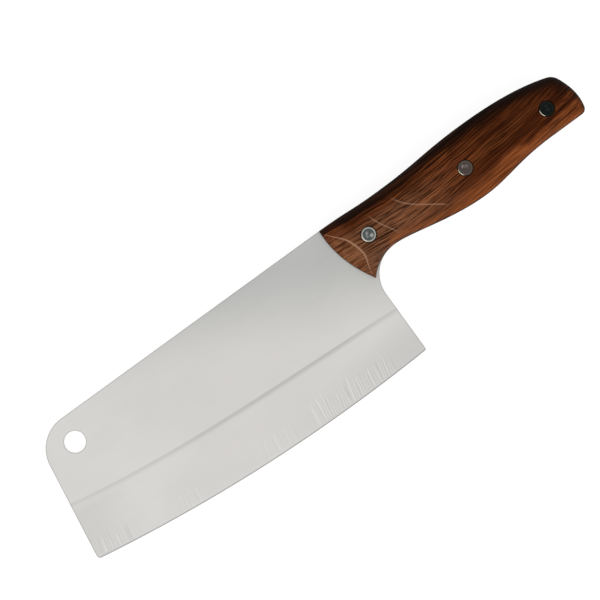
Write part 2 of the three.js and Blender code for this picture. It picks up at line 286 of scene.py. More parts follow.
# Meshes
class Skin:
    """Collects the points and faces of one piece."""

    def __init__(self):
        self.points = []
        self.faces = []

    def ring(self, flat, heights):
        start = len(self.points)
        z = np.broadcast_to(heights, len(flat))
        self.points += [(*p, h) for p, h in zip(flat, z)]
        return np.arange(start, len(self.points))

    def band(self, outer, inner):
        """Quads between two closed rings that run clockwise, seen from where they face."""
        following = np.roll(outer, -1), np.roll(inner, -1)
        self.faces += np.stack([outer, inner, following[1], following[0]], -1).tolist()

    def build(self, name, place, material, values=None):
        mesh = bpy.data.meshes.new(name)
        mesh.from_pydata([Vector(p) * MM for p in self.points], [], self.faces)
        mesh.polygons.foreach_set("use_smooth", [True] * len(mesh.polygons))
        mesh.set_sharp_from_angle(angle=SHARP_ANGLE)
        for key, numbers in (values or {}).items():
            mesh.attributes.new(key, "FLOAT", "POINT").data.foreach_set("value", numbers)
        mesh.materials.append(material)
        piece = bpy.data.objects.new(name, mesh)
        bpy.context.scene.collection.objects.link(piece)
        piece.matrix_world = place
        return piece


def inward(loop):
    """How each point moves for a step of 1 into the material of a clockwise outline or round a hole."""
    side = np.roll(loop, -1, 0) - loop
    side /= np.linalg.norm(side, axis=1, keepdims=True)
    after = np.stack([side[:, 1], -side[:, 0]], -1)
    before = np.roll(after, 1, 0)
    spread = 1 + (before * after).sum(1, keepdims=True)
    return (before + after) / np.maximum(spread, LEAST_SPREAD)


def inside(points, loops):
    """Whether each point is inside the outline and outside its holes."""
    odd = np.zeros(len(points), bool)
    x, y = points[:, 0], points[:, 1]
    for loop in loops:
        for (ax, ay), (bx, by) in zip(loop, np.roll(loop, -1, 0)):
            if ay != by:
                odd ^= ((ay > y) != (by > y)) & (x < (bx - ax) * (y - ay) / (by - ay) + ax)
    return odd


def clear_of(points, loops, gap):
    """The points that lie inside the loops and at least a gap away from them."""
    edge = np.concatenate(loops)
    away = np.array([np.hypot(*(edge - p).T).min() for p in points])
    return points[(away > gap) & inside(points, loops)]


def distance(points, line):
    """How far each point is from an open line."""
    start, side = line[:-1], np.diff(line, axis=0)
    from_start = points[:, None] - start
    along = np.clip((from_start * side).sum(-1) / (side**2).sum(-1), 0, 1)
    return np.linalg.norm(from_start - along[..., None] * side, axis=-1).min(1)


def triangles(loops, inner):
    """Delaunay triangles inside flat loops, as indices into the loops' points and then the inner ones.
    The points are rounded as Blender's vectors are, so that both agree on which side of a line they lie."""
    loops = [np.float32(loop).astype(float) for loop in loops]
    flat = np.concatenate([*loops, inner])
    edges = []
    start = 0
    for loop in loops:
        index = start + np.arange(len(loop))
        edges += np.stack([index, np.roll(index, -1)], -1).tolist()
        start += len(loop)
    made = delaunay_2d_cdt([Vector(p) for p in flat], edges, [], 0, 1e-7, True)
    origin = np.array([ids[0] for ids in made[3]])
    faces = origin[np.array(made[2])]
    centres = flat[faces].mean(1)
    return faces[inside(centres, loops)]


def lay(skin, loops, insets, inner, height, upward=True):
    """Lays a sheet over flat loops: rings that step in from each loop, then a net over the inner points.
    height takes flat points and their distance from the loop. Returns each loop's outermost ring."""
    outermost, innermost, last_loops = [], [], []
    for loop in loops:
        normal = inward(loop)
        flats = [loop + normal * inset for inset in insets]
        rings = [skin.ring(flat, height(flat, inset)) for flat, inset in zip(flats, insets)]
        for outer, nearer in zip(rings, rings[1:]):
            skin.band(*((outer, nearer) if upward else (nearer, outer)))
        outermost.append(rings[0])
        innermost.append(rings[-1])
        last_loops.append(flats[-1])
    inner_ring = skin.ring(inner, height(inner, FAR_IN)) if len(inner) else np.array([], int)
    index = np.concatenate([*innermost, inner_ring])
    for a, b, c in triangles(last_loops, inner):
        skin.faces.append([int(index[k]) for k in ((a, b, c) if upward else (a, c, b))])
    return outermost


# Blade
def half_thickness(x, y):
    below = grind_y(x) - y
    above_edge = y - edge_y(x)
    run = grind_y(x) - edge_y(x) - SHARPENED_HEIGHT
    ground = np.clip((below + np.hypot(below, SHOULDER_EASE)) / 2 / run, 0, 1)
    face = lerp(HALF_STOCK, HALF_BEHIND_EDGE, ground) - HOLLOW * 4 * ground * (1 - ground)
    sharpened = lerp(HALF_EDGE, HALF_BEHIND_EDGE, above_edge / SHARPENED_HEIGHT)
    return np.where(above_edge < SHARPENED_HEIGHT, np.clip(sharpened, HALF_EDGE, None), face)


def blade_height(flat, inset):
    half = half_thickness(*flat.T)
    radius = np.minimum(RIM_RADIUS, RIM_SHARE * half)
    level = np.clip(radius - inset, 0, None)
    return half - radius + np.sqrt(radius**2 - level**2)


def blade_inner_points():
    """Rows along the grind line and the sharpened edge, and a wider net over the rest."""
    x = np.arange(-BLADE_LENGTH, 0, COLUMN_STEP)
    near = np.array([0, 0.35, 0.75, 1.2, 1.8, 2.6, 3.6, 5])
    ground = np.arange(6.5, BEVEL_AT_TIP - 3, 1.6)
    below = np.concatenate([-near[:0:-1], near, ground])
    rows = [np.stack([x, grind_y(x) - s], -1) for s in below]
    rows += [np.stack([x, edge_y(x) + s], -1) for s in (0.6, SHARPENED_HEIGHT, 1.6, 2.3)]
    for y in np.arange(-5, -42, -5):
        rows.append(np.stack([x[::2], np.full(len(x[::2]), y)], -1))
    return np.concatenate(rows)


def make_blade(place, material):
    loops = [blade_outline(), round_hole(HANG_HOLE, HANG_HOLE_RADIUS)]
    loops += [round_hole(centre, SHANK_RADIUS + FIT) for centre in RIVETS.values()]
    last = [loop + inward(loop) * BLADE_INSETS[-1] for loop in loops]
    inner = clear_of(blade_inner_points(), last, BLADE_CLEAR)
    skin = Skin()
    rim = []

    def top(flat, inset):
        rim.extend([inset] * len(flat))
        return blade_height(flat, inset)

    def bottom(flat, inset):
        return -top(flat, inset)

    upper = lay(skin, loops, BLADE_INSETS, inner, top)
    lower = lay(skin, loops, BLADE_INSETS, inner, bottom, upward=False)
    for above, under in zip(upper, lower):
        skin.band(under, above)
    x, y, _ = np.array(skin.points).T
    values = {"below_grind": grind_y(x) - y, "above_edge": y - edge_y(x), "from_rim": np.array(rim)}
    piece = skin.build("ground_blade", place, material, values)
    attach(piece, "root")
    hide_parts("blade")


# Scales
def scale_surface():
    """Functions for the height of a scale, and for how near a point is to the ridge of its sloping front."""
    back = handle_back()
    under = handle_underside()
    past_toe = arc(SCALE_NOTCH, SCALE_NOTCH_RADIUS, math.pi / 2, TOE_ANGLE + TOE_SPARE)
    lower = np.concatenate([under, past_toe])[::-1]
    rear_centre = np.array([REAR_RIVET_X, RIVET_LINE])
    butt = np.concatenate([back, under])
    butt = butt[butt[:, 0] > REAR_RIVET_X - LINE_STEP] - rear_centre
    butt_angle = np.arctan2(butt[:, 1], butt[:, 0])[::-1]
    butt_reach = np.hypot(*butt.T)[::-1]
    forward = back[np.argsort(back[:, 0])]
    lower = lower[np.argsort(lower[:, 0])]
    foot, ridge = front_curve(-FRONT_BOW), front_curve(RAMP_RUN - FRONT_BOW)

    def bowed(controls, t):
        a, b, c = (p[0] for p in controls)
        return (1 - t) ** 2 * a + 2 * t * (1 - t) * b + t**2 * c

    def dome(x, y):
        across = y - RIVET_LINE
        reach = np.where(across > 0, np.interp(x, *forward.T), np.interp(x, *lower.T)) - RIVET_LINE
        away, reach = np.abs(across), np.abs(reach)
        behind = x > REAR_RIVET_X
        angle = np.arctan2(across, x - REAR_RIVET_X)
        away = np.where(behind, np.hypot(x - REAR_RIVET_X, across), away)
        reach = np.where(behind, np.interp(angle, butt_angle, butt_reach), reach)
        out = np.clip((away - FLAT_HALF) / (reach - FLAT_HALF), 0, 1)
        up = (1 - out**SHOULDER_POWER) ** (1 / SHOULDER_POWER)
        return SCALE_BASE + lerp(SCALE_WALL, SCALE_THICKNESS, up)

    def slope(x, y):
        t = np.clip(y / TOE[1], 0, 1)
        start, end = bowed(foot, t), bowed(ridge, t)
        climb = (x - start) / np.maximum(end - start, LEAST_RUN)
        return SCALE_BASE + FRONT_FOOT + climb * (SCALE_THICKNESS - FRONT_FOOT)

    def height(x, y):
        a, b = dome(x, y), slope(x, y)
        near = np.clip(RIDGE_SOFTNESS - np.abs(a - b), 0, None)
        return np.maximum(np.minimum(a, b) - near**2 / (4 * RIDGE_SOFTNESS), SCALE_LOWEST)

    def ridge_nearness(x, y):
        return np.clip(1 - np.abs(dome(x, y) - slope(x, y)) / RIDGE_SOFTNESS, 0, 1)

    return height, ridge_nearness


def scale_inner_points():
    """A fine net over the sloping front, and a wider one over the rest."""
    nets = []
    for low, high, step in ((-9, 18, 0.42), (18, BUTT_X, 0.9)):
        x, y = np.meshgrid(np.arange(low, high, step), np.arange(-34, 2, step))
        nets.append(np.stack([x.ravel(), y.ravel()], -1))
    return np.concatenate(nets)


def make_scale(name, node, side, place, material):
    """A scale on the upper side, or with side -1 its mirror image below."""
    height, ridge_nearness = scale_surface()
    loops = [scale_outline()]
    loops += [round_hole(centre, HEAD_RADIUS + FIT) for centre in RIVETS.values()]
    last = [loop + inward(loop) * SCALE_INSETS[-1] for loop in loops]
    inner = clear_of(scale_inner_points(), last, SCALE_CLEAR)
    skin = Skin()
    rim = []

    def top(flat, inset):
        rim.extend([inset] * len(flat))
        return height(*flat.T)

    def bottom(flat, inset):
        rim.extend([inset] * len(flat))
        return np.full(len(flat), SCALE_BASE)

    upper = lay(skin, loops, SCALE_INSETS, inner, top)
    lower = lay(skin, loops, (0,), np.empty((0, 2)), bottom, upward=False)
    for above, under in zip(upper, lower):
        skin.band(under, above)
    flat = np.array(skin.points)[:, :2]
    underside = handle_underside()
    values = {
        "ridge": ridge_nearness(*flat.T),
        "from_back": distance(flat, handle_back()),
        "from_under": distance(flat, underside[underside[:, 1] < BUTT_HEEL[1] + BUTT_HEEL_RADIUS]),
        "from_rim": np.array(rim),
    }
    if side < 0:
        skin.points = [(px, py, -pz) for px, py, pz in skin.points]
        skin.faces = [face[::-1] for face in skin.faces]
    piece = skin.build(name, place, material, values)
    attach(piece, "root")
    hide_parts(node)


# Rivets
def head_profile():
    """The head from its middle out, as radius and height below its top."""
    return [
        (0.0, 0.16), (0.3, 0.15), (0.55, 0.1), (0.75, 0.04), (1.0, 0.03), (1.5, 0.06), (2.1, 0.09),
        (2.6, 0.1), (2.75, 0.08), (2.88, 0.02), (2.97, 0.0), (3.06, 0.01), (3.25, 0.06), (3.39, 0.13),
        (HEAD_RADIUS, 0.22),
    ]


def make_rivet(name, node, centre, side, below_head, place, material):
    """A rivet half turned about its axis, head outwards; below_head runs from the head's rim to the axis."""
    profile = [(radius, HEAD_TOP - drop) for radius, drop in head_profile()]
    profile += [(HEAD_RADIUS, HEAD_UNDER)] + below_head
    angles = np.linspace(0, -2 * math.pi, ROUND_SIDES, endpoint=False)
    circle = np.stack([np.cos(angles), np.sin(angles)], -1)
    skin = Skin()
    rings = [skin.ring(circle * radius, z) for radius, z in profile[1:-1]]
    for inner, outer in zip(rings, rings[1:]):
        skin.band(outer, inner)
    for (_, z), ring, upward in ((profile[0], rings[0], True), (profile[-1], rings[-1], False)):
        tip = skin.ring(np.zeros((1, 2)), z)[0]
        for a, b in zip(ring, np.roll(ring, -1)):
            skin.faces.append([int(tip), int(b), int(a)] if upward else [int(tip), int(a), int(b)])
    if side < 0:
        skin.points = [(px, -py, -pz) for px, py, pz in skin.points]
    piece = skin.build(name, place @ Matrix.Translation(Vector((*centre, 0)) * MM), material)
    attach(piece, "root")
    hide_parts(node)


def make_rivets(place):
    bore = PIN_RADIUS + FIT
    bore_end = HEAD_UNDER - HEAD_WEB
    shank_end = FIT - HEAD_UNDER
    pin_end = FIT - bore_end
    socket = [(SHANK_RADIUS, HEAD_UNDER), (SHANK_RADIUS, shank_end), (bore, shank_end), (bore, bore_end)]
    socket.append((0, bore_end))
    pin = [(PIN_RADIUS, HEAD_UNDER), (PIN_RADIUS, pin_end), (0, pin_end)]
    for where in RIVETS:
        material = rivet_material(where)
        for half, below_head, side in (("socket", socket, 1), ("pin", pin, -1)):
            node = f"rivet_{where}_{half}"
            make_rivet(f"{node}_turned", node, RIVETS[where], side, below_head, place, material)


# Materials
class Nodes:
    """A node tree made by calls: each call gives an output, and each input is an output or a value."""

    def __init__(self, tree):
        self.tree = tree
        tree.nodes.clear()

    def add(self, kind, inputs, output=0, **settings):
        node = self.tree.nodes.new(kind)
        for key, value in settings.items():
            setattr(node, key, value)
        for key, value in inputs.items():
            if isinstance(value, bpy.types.NodeSocket):
                self.tree.links.new(value, node.inputs[key])
            else:
                node.inputs[key].default_value = value
        return node.outputs[output] if len(node.outputs) else None

    def math(self, operation, a, b=0.0):
        return self.add("ShaderNodeMath", {0: a, 1: b}, operation=operation)

    def vector(self, operation, a, b):
        return self.add("ShaderNodeVectorMath", {0: a, 1: b}, operation=operation)

    def fade(self, value, low, high, at_low=0.0, at_high=1.0):
        """A smooth step between two values; high may lie below low."""
        inputs = {"Value": value, "From Min": low, "From Max": high, "To Min": at_low, "To Max": at_high}
        return self.add("ShaderNodeMapRange", inputs, interpolation_type="SMOOTHSTEP")

    def mix(self, factor, a, b):
        """A colour between two others; the numbers are the node's sockets for colours."""
        return self.add("ShaderNodeMix", {0: factor, 6: a, 7: b}, output=2, data_type="RGBA")

    def attribute(self, name):
        return self.add("ShaderNodeAttribute", {}, output="Fac", attribute_name=name)

    def millimetres(self):
        """Places in the piece's own frame, in millimetres."""
        own = self.add("ShaderNodeTexCoord", {}, output="Object")
        return self.vector("MULTIPLY", own, (1 / MM,) * 3)

    def split(self, vector):
        node = self.tree.nodes.new("ShaderNodeSeparateXYZ")
        self.tree.links.new(vector, node.inputs[0])
        return node.outputs

    def noise(self, vector, stretch, detail=2.0, roughness=0.5):
        """Noise with so many waves to the millimetre along each axis."""
        inputs = {"Vector": self.vector("MULTIPLY", vector, stretch), "Scale": 1.0, "Detail": detail}
        return self.add("ShaderNodeTexNoise", {**inputs, "Roughness": roughness})

    def bump(self, height, strength, distance, normal=None):
        inputs = {"Height": height, "Strength": strength, "Distance": distance}
        if normal is not None:
            inputs["Normal"] = normal
        return self.add("ShaderNodeBump", inputs)

    def background_ray(self):
        """1 for rays that show the white background: from the camera, off metal or through glass."""
        ray = self.tree.nodes.new("ShaderNodeLightPath").outputs
        seen = self.math("MAXIMUM", ray["Is Camera Ray"], ray["Is Glossy Ray"])
        return self.math("MAXIMUM", seen, ray["Is Transmission Ray"])

    def surface(self, inputs):
        shader = self.add("ShaderNodeBsdfPrincipled", inputs)
        self.add("ShaderNodeOutputMaterial", {"Surface": shader})


def new_material(name):
    material = bpy.data.materials.new(name)
    material.use_nodes = True
    return material, Nodes(material.node_tree)


STEEL_BRIGHT = (0.618, 0.603, 0.588, 1)
STEEL_DIM = (0.465, 0.47, 0.456, 1)
STEEL_SHADE = (0.27, 0.27, 0.26, 1)
STEEL_SHINE = (0.84, 0.84, 0.82, 1)
STEEL_EDGE = (0.2, 0.2, 0.2, 1)
SHADE_DIRECTION = (-0.386, -0.922, 0)  # across the blade, from the corner by the handle where painted shade dims it
SHADE_FROM, SHADE_TO = 15, 54  # millimetres in that direction
SCRATCH_LEAN = 0.2  # grinding scratches lean this far along the blade for each millimetre of height
SCRATCH_PITCH = 1.5
SCRATCHES = (
    # middle, half width and strength of each stretch of scratches
    (-37, 27, 1.0),
    (-166, 13, 0.9),
    (-126, 6, 0.5),
    (-78, 12, 0.45),
)


def blade_material():
    material, net = new_material("satin_blade_steel")
    place = net.millimetres()
    x, _, _ = net.split(place)
    below_grind, above_edge = net.attribute("below_grind"), net.attribute("above_edge")
    # Painted shade towards the handle and the spine, and painted light towards the tip
    colour = painted_light_falloff(net, place)
    # The grinding starts with a crisp dark line that fades downwards
    band = net.math("MULTIPLY", net.fade(below_grind, -0.5, 0.4), net.fade(below_grind, 2.8, 0.3, 0.0, 0.42))
    ends = net.math("MULTIPLY", net.fade(x, -170, -60, 0.5, 1.0), net.fade(x, -2, -30, 0.6, 1.0))
    colour = net.mix(net.math("MULTIPLY", band, ends), colour, STEEL_SHADE)
    # The ground face is a little dimmer at its ends
    tip = net.math("MULTIPLY", net.fade(x, -140, -172), net.fade(below_grind, 0.5, 6, 0.0, 0.15))
    colour = net.mix(tip, colour, STEEL_SHADE)
    heel = net.math("MULTIPLY", net.fade(x, -75, -8), net.fade(above_edge, 21, 7, 0.0, 0.18))
    colour = net.mix(heel, colour, STEEL_SHADE)
    ridges, furrows = grinding_scratches(net, place, above_edge)
    # The scratches are real marks, with a painted highlight on their ridges and painted shade in their
    # furrows
    colour = net.mix(net.math("MULTIPLY", ridges, 0.32), colour, STEEL_SHINE)
    colour = net.mix(net.math("MULTIPLY", furrows, 0.12), colour, STEEL_SHADE)
    # Dark line of the sharpened edge, and a fainter painted shade round the plate's rounded rim
    colour = net.mix(net.fade(above_edge, 0.85, 0.35, 0.0, 0.5), colour, STEEL_EDGE)
    colour = net.mix(net.fade(net.attribute("from_rim"), 0.6, 0.1, 0.0, 0.5), colour, STEEL_SHADE)
    # Fine satin lines along the blade
    satin = net.noise(place, (0.05, 5.5, 5.5), detail=3, roughness=0.6)
    rough = net.fade(satin, 0.3, 0.7, 0.42, 0.54)
    grain = net.bump(satin, 0.05, 0.00002)
    scored = net.bump(net.math("SUBTRACT", ridges, furrows), 0.2, 0.00004, grain)
    net.surface({"Base Color": colour, "Metallic": 0.85, "Roughness": rough, "Normal": scored})
    return material


def painted_light_falloff(net, place):
    """Steel with painted shade towards the handle and the spine, painted light towards the tip, and faint
    clouds.
    """
    inputs = {0: place, 1: SHADE_DIRECTION}
    down = net.add("ShaderNodeVectorMath", inputs, output="Value", operation="DOT_PRODUCT")
    # Painted shade: dimmer towards the handle and the spine
    colour = net.mix(net.fade(down, SHADE_FROM, SHADE_TO), STEEL_DIM, STEEL_BRIGHT)
    x, _, _ = net.split(place)
    # Painted light: brighter towards the tip
    colour = net.mix(net.fade(x, -80, -165, 0.0, 0.12), colour, STEEL_SHINE)
    clouds = net.noise(place, (0.02, 0.03, 0.03), detail=3)
    return net.mix(net.fade(clouds, 0.35, 0.65, 0.0, 0.06), colour, STEEL_SHADE)


def grinding_scratches(net, place, above_edge):
    """Raised and sunk parts of the short leaning scratches by the edge."""
    x, y, _ = net.split(place)
    lean = net.math("SUBTRACT", x, net.math("MULTIPLY", y, SCRATCH_LEAN))
    lines = net.add("ShaderNodeCombineXYZ", {0: lean, 1: net.math("MULTIPLY", y, 0.02), 2: 0.0})
    uneven = net.noise(lines, (0.3, 1, 1), detail=0.0)
    turns = net.math("ADD", net.math("DIVIDE", lean, SCRATCH_PITCH), net.math("MULTIPLY", uneven, 3.0))
    wave = net.math("SINE", net.math("MULTIPLY", turns, 2 * math.pi))
    zone = 0.0
    for middle, half_width, strength in SCRATCHES:
        off = net.math("ABSOLUTE", net.math("SUBTRACT", x, middle))
        zone = net.math("MAXIMUM", zone, net.fade(off, half_width, half_width * 0.6, 0.0, strength))
    ragged = net.noise(lines, (0.45, 0.4, 1), detail=1.0)
    top = net.math("ADD", 1.0, net.math("MULTIPLY", ragged, 17.0))
    short = net.fade(net.math("SUBTRACT", above_edge, top), 2.0, -2.0)
    patchy = net.fade(net.noise(lines, (0.22, 0.8, 1), detail=1.0), 0.24, 0.5)
    off_edge = net.fade(above_edge, 0.8, 2.2)
    zone = net.math("MULTIPLY", net.math("MULTIPLY", zone, patchy), net.math("MULTIPLY", short, off_edge))
    ridges = net.math("MULTIPLY", net.fade(wave, 0.5, 1.0), zone)
    furrows = net.math("MULTIPLY", net.fade(wave, -0.3, -0.9), zone)
    return ridges, furrows


WOOD_BLACK = (0.005, 0.0018, 0.0007, 1)
WOOD_DARK = (0.024, 0.0052, 0.001, 1)
WOOD_MIDDLE = (0.155, 0.033, 0.0065, 1)
WOOD_LIGHT = (0.38, 0.11, 0.03, 1)
WOOD_PAINTED_LIGHT = (0.24, 0.062, 0.015, 1)
WOOD_SHEEN = (0.29, 0.147, 0.08, 1)
WOOD_PALE = (0.5, 0.28, 0.18, 1)
WOOD_FRONT = (0.36, 0.15, 0.065, 1)
GRAIN_LEVEL_AT = 34  # the grain falls ahead of this place along the handle, and rises behind it
GRAIN_RISE = 0.1  # how much it rises for each millimetre, far behind
GRAIN_TURN = 15  # softness of that turn
FAINT_LINES = (
    # two ends and how far the line bows out between them
    ((14.0, -6.9), (21.3, -22.3), 0.7),
    ((26.9, -6.2), (47.2, -25.4), 2.0),
)


def wood_material():
    """Streaked wood: painted light along the underside, painted shade near black along the back, and a
    painted sheen and painted highlight at its front.
    """
    material, net = new_material("red_brown_wood")
    place = net.millimetres()
    x, y, _ = net.split(place)
    from_back, from_under = net.attribute("from_back"), net.attribute("from_under")
    bands, streaks, pores, specks = wood_grain(net, place)
    colour = wood_figure(net, x, from_under, bands, streaks)
    band = painted_light_band(net, x, from_under, streaks)
    # Painted light along the underside
    colour = net.mix(band, colour, net.mix(net.fade(streaks, 0.3, 0.6), WOOD_PAINTED_LIGHT, WOOD_LIGHT))
    # Painted sheen over the front half
    colour = wood_front(net, x, from_back, from_under, streaks, colour)
    colour = wood_pores(net, x, band, pores, specks, colour)
    # Painted shade along the back and round the butt
    colour = painted_back_shade(net, x, from_back, streaks, colour)
    # Painted highlight along the ridge of the sloping front, and faint light lines
    ridge_highlight = net.math("MULTIPLY", net.attribute("ridge"), net.fade(from_back, 0.5, 4))
    colour = net.mix(net.fade(ridge_highlight, 0.2, 0.9, 0.0, 0.8), colour, WOOD_PALE)
    for start, end, bow in FAINT_LINES:
        colour = net.mix(faint_line(net, x, y, start, end, bow), colour, WOOD_PALE)
    # Painted shade as a dark line round the outline and the rivets
    colour = net.mix(net.fade(net.attribute("from_rim"), 0.4, 0.05, 0.0, 0.7), colour, WOOD_BLACK)
    rough = net.fade(pores, 0.35, 0.6, 0.62, 0.42)
    relief = net.math("ADD", net.fade(pores, 0.36, 0.47), net.math("MULTIPLY", streaks, 0.4))
    normal = net.bump(relief, 0.35, 0.00008)
    net.surface({"Base Color": colour, "Roughness": rough, "Specular IOR Level": 0.03, "Normal": normal})
    return material


def wood_figure(net, x, from_under, bands, streaks):
    """The colour of the streaks, deeper towards the butt."""
    figure = net.math("ADD", net.math("MULTIPLY", bands, 0.4), net.math("MULTIPLY", streaks, 0.6))
    colour = net.mix(net.fade(figure, 0.35, 0.53), WOOD_DARK, WOOD_MIDDLE)
    colour = net.mix(net.fade(figure, 0.47, 0.71), colour, WOOD_LIGHT)
    deep = net.math("MULTIPLY", net.fade(x, 40, 85), net.fade(from_under, 6.5, 13, 0.0, 0.45))
    return net.mix(deep, colour, WOOD_DARK)


def painted_light_band(net, x, from_under, streaks):
    """Strength of the painted light band along the underside, which is widest at the belly."""
    broad = net.math("MULTIPLY", net.fade(x, 42, 58), net.fade(x, 96, 82))
    band_edge = net.math("ADD", from_under, net.math("MULTIPLY", net.math("SUBTRACT", streaks, 0.5), 3.0))
    band_edge = net.math("ADD", band_edge, net.fade(broad, 0, 1, 3.5, 0.0))
    return net.math("MULTIPLY", net.fade(band_edge, 9, 5), net.fade(from_under, 0.1, 1.0, 0.0, 0.85))


def wood_front(net, x, from_back, from_under, streaks, colour):
    """A pale painted sheen over the front half, a little thinner on its sloping front, and lighter wood
    there.
    """
    sheen = net.math("MULTIPLY", net.fade(x, 70, 18), net.fade(x, -2, 5, 0.75, 1.0))
    sheen = net.math("MULTIPLY", sheen, net.fade(from_back, 5, 12, 0.0, 0.5))
    sheen = net.math("MULTIPLY", sheen, net.fade(from_under, 1, 7, 0.3, 1.0))
    colour = net.mix(sheen, colour, WOOD_SHEEN)
    front = net.math("MULTIPLY", net.fade(x, 5, 0, 0.0, 0.6), net.fade(from_back, 2, 7))
    return net.mix(front, colour, net.mix(net.fade(streaks, 0.36, 0.62), WOOD_MIDDLE, WOOD_FRONT))


def wood_pores(net, x, band, pores, specks, colour):
    """Open pores, and finer dark flecks, fewer in the painted light band and on the sloping front."""
    fewer = net.math("MULTIPLY", net.fade(band, 0, 0.8, 1.0, 0.6), net.fade(x, 0, 6, 0.65, 1.0))
    open_pores = net.math("MULTIPLY", net.fade(pores, 0.5, 0.41, 0.0, 0.9), fewer)
    colour = net.mix(open_pores, colour, WOOD_DARK)
    flecks = net.math("MULTIPLY", net.fade(specks, 0.49, 0.39, 0.0, 0.75), fewer)
    return net.mix(flecks, colour, WOOD_DARK)


def painted_back_shade(net, x, from_back, streaks, colour):
    """Painted shade: near black along the back, less deep on the sloping front, and dark round the butt."""
    ragged = net.math("ADD", from_back, net.math("MULTIPLY", net.math("SUBTRACT", streaks, 0.5), 7.0))
    ragged = net.math("ADD", ragged, net.fade(x, 4, -3, 0.0, 2.5))
    colour = net.mix(net.fade(ragged, 8.5, 1.6, 0.0, 0.92), colour, WOOD_BLACK)
    return net.mix(net.fade(x, BUTT_X - 4, BUTT_X, 0.0, 0.6), colour, WOOD_BLACK)


def wood_grain(net, place):
    """Broad bands, streaks, pores and specks that run along the handle and wander a little."""
    wander = net.noise(place, (0.016, 0.03, 0.03), detail=1)
    waver = net.noise(place, (0.07, 0.2, 0.2), detail=1)
    shift = net.math("MULTIPLY", net.math("SUBTRACT", wander, 0.5), 3.0)
    shift = net.math("ADD", shift, net.math("MULTIPLY", net.math("SUBTRACT", waver, 0.5), 1.6))
    x, _, _ = net.split(place)
    along = net.math("SUBTRACT", x, GRAIN_LEVEL_AT)
    turn = net.math("SQRT", net.math("ADD", net.math("POWER", along, 2.0), GRAIN_TURN**2))
    shift = net.math("SUBTRACT", shift, net.math("MULTIPLY", turn, GRAIN_RISE))
    bent = net.vector("ADD", place, net.add("ShaderNodeCombineXYZ", {0: 0.0, 1: shift, 2: 0.0}))
    bands = net.noise(bent, (0.007, 0.2, 0.03), detail=2)
    streaks = net.noise(bent, (0.016, 0.85, 0.06), detail=3, roughness=0.62)
    pores = net.noise(bent, (0.042, 2.0, 0.1), detail=2, roughness=0.6)
    specks = net.noise(bent, (0.11, 3.6, 0.2), detail=1)
    return bands, streaks, pores, specks


def faint_line(net, x, y, start, end, bow):
    """Strength of a faint light line between two places on the wood, bowed to its left."""
    (ax, ay), (bx, by) = start, end
    length = math.dist(start, end)
    ux, uy = (bx - ax) / length, (by - ay) / length
    from_x, from_y = net.math("SUBTRACT", x, ax), net.math("SUBTRACT", y, ay)
    along = net.math("ADD", net.math("MULTIPLY", from_x, ux), net.math("MULTIPLY", from_y, uy))
    across = net.math("SUBTRACT", net.math("MULTIPLY", from_x, uy), net.math("MULTIPLY", from_y, ux))
    rise = net.math("MULTIPLY", along, net.math("POWER", net.math("SUBTRACT", length, along), 2.0))
    bowed = net.math("SUBTRACT", across, net.math("MULTIPLY", rise, BOW_SCALE * bow / length**3))
    thin = net.fade(net.math("ABSOLUTE", bowed), 0.5, 0.1, 0.0, 0.45)
    ends = net.math("MULTIPLY", net.fade(along, -0.5, 4), net.fade(along, length + 0.5, length - 5))
    return net.math("MULTIPLY", thin, ends)


RIVET_LOOKS = {
    # colours of the disc, its marks and glints and its ring, all painted reflections: light at the front
    # rivet, near black at the rear one
    "front": ((0.058, 0.068, 0.066, 1), (0.36, 0.37, 0.36, 1), (0.36, 0.345, 0.31, 1)),
    "middle": ((0.055, 0.043, 0.038, 1), (0.24, 0.2, 0.19, 1), (0.085, 0.066, 0.055, 1)),
    "rear": ((0.006, 0.0085, 0.0075, 1), (0.02, 0.021, 0.024, 1), (0.012, 0.013, 0.011, 1)),
}
RIVET_GLINTS = {
    # place from the rivet's middle, size and strength of each painted reflection in its disc
    "front": ((0.9, -1.1, 1.3, 0.9), (-0.3, 0.9, 1.1, 0.5), (-1.1, -0.5, 0.9, 0.4)),
    "middle": ((-0.7, 1.4, 0.9, 0.8), (0.7, 0.4, 1.3, 0.5)),
    "rear": ((0.3, -0.4, 1.2, 0.8), (0.6, 1.2, 1.2, 0.5)),
}
RIM_HIGHLIGHT_COLOUR = (0.9, 0.82, 0.68, 1)
RIM_HIGHLIGHT_SIDE = (-0.98, -0.2)  # the side where the rivets' rims carry a painted highlight


